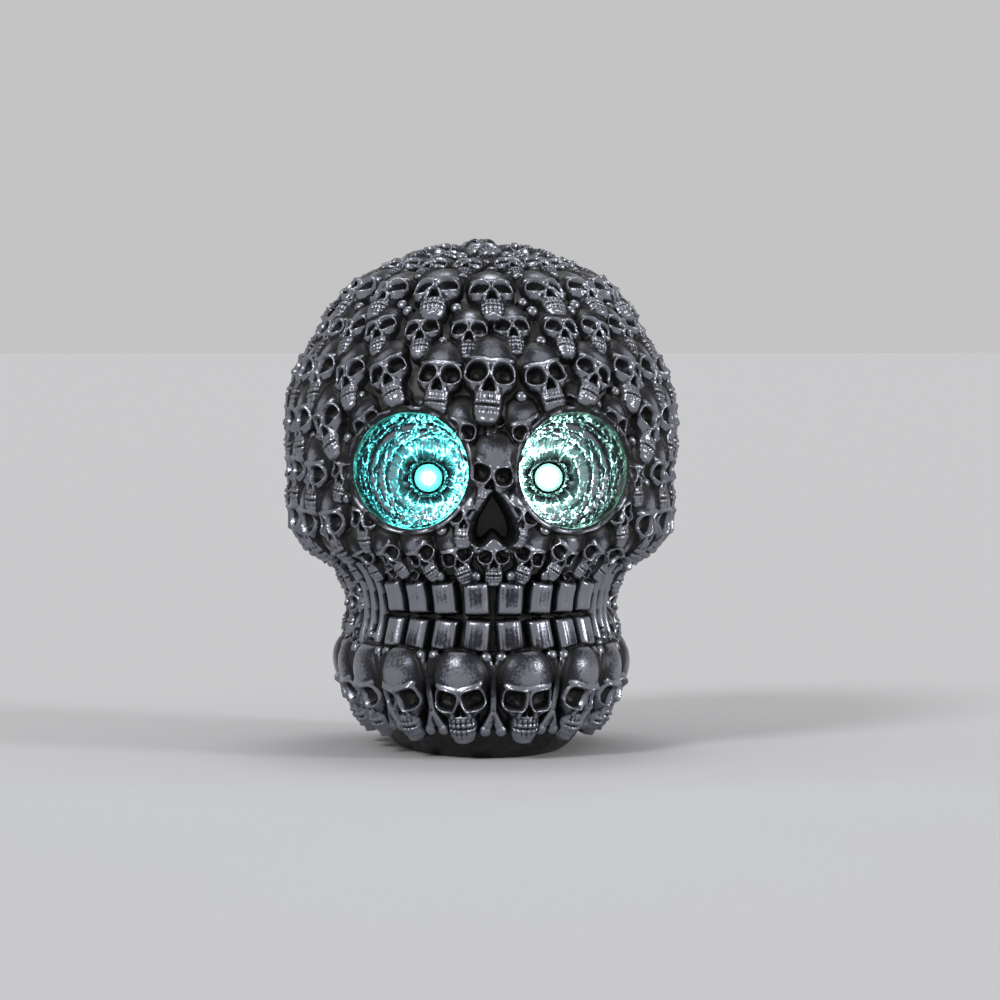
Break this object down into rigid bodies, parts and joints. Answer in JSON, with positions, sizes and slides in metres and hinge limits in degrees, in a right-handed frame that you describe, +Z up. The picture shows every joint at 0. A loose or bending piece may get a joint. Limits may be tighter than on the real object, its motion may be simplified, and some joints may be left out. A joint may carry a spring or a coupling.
{
  "type": "light-up skull decoration",
  "caption": "Hollow free-standing skull covered in a relief of small skulls, with a glowing lamp sunk in each eye socket, a toothed jaw and a battery tray and switch in the base.",
  "frame": {"origin": "on the table under the middle of the skull's bounding box", "axes": "+Z up, the face looks along -Y, +X is to the viewer's right as they face the skull"},
  "size_m": [0.1592, 0.19, 0.205],
  "materials": {
    "pewter_painted_shell": "moulded black, dry-brushed with pewter metallic paint on the high spots",
    "lamp_lens": "clear moulded lens, lit",
    "black_plastic": "fine moulded texture",
    "white_plastic": "satin moulded",
    "plated_steel": "bright zinc or nickel plate",
    "cell_jacket": "shrunk plastic jacket",
    "board_laminate": "green lacquered laminate",
    "resistor_coat": "lacquered ceramic",
    "red_insulation": "soft vinyl",
    "black_insulation": "soft vinyl",
    "grey_insulation": "soft vinyl"
  },
  "bodies": {
    "skull": {"front_shell": "pewter_painted_shell", "rear_shell": "pewter_painted_shell", "left_eye_cup": "pewter_painted_shell", "right_eye_cup": "pewter_painted_shell", "left_eye_lamp": "lamp_lens", "left_lamp_holder": "black_plastic", "left_lamp_lead": "grey_insulation", "left_resistor": "resistor_coat", "right_eye_lamp": "lamp_lens", "right_lamp_holder": "black_plastic", "right_lamp_lead": "grey_insulation", "right_resistor": "resistor_coat", "base_cover": "black_plastic", "base_screw_1": "plated_steel", "base_screw_2": "plated_steel", "base_screw_3": "plated_steel", "base_screw_4": "plated_steel", "battery_1": "cell_jacket", "battery_2": "cell_jacket", "battery_3": "cell_jacket", "negative_contact": "plated_steel", "front_bridge_contact": "plated_steel", "rear_bridge_contact": "plated_steel", "positive_contact": "plated_steel", "switch_body": "black_plastic", "circuit_board": "board_laminate", "circuit_board_screw": "plated_steel", "positive_lead": "red_insulation", "negative_lead": "black_insulation"},
    "battery_lid": {"battery_lid": "black_plastic", "battery_lid_screw": "plated_steel"},
    "switch_slider": {"switch_slider": "white_plastic"}
  },
  "joints": [
    {"name": "switch_slide", "type": "slide", "parent": "skull", "child": "switch_slider", "axis": [1, 0, 0], "range_m": [0, 0.004]},
    {"name": "battery_lid_hinge", "type": "hinge", "parent": "skull", "child": "battery_lid", "pos_m": [0, 0.01195, 0.0019], "axis": [1, 0, 0], "range_deg": [0, 95]}
  ]
}
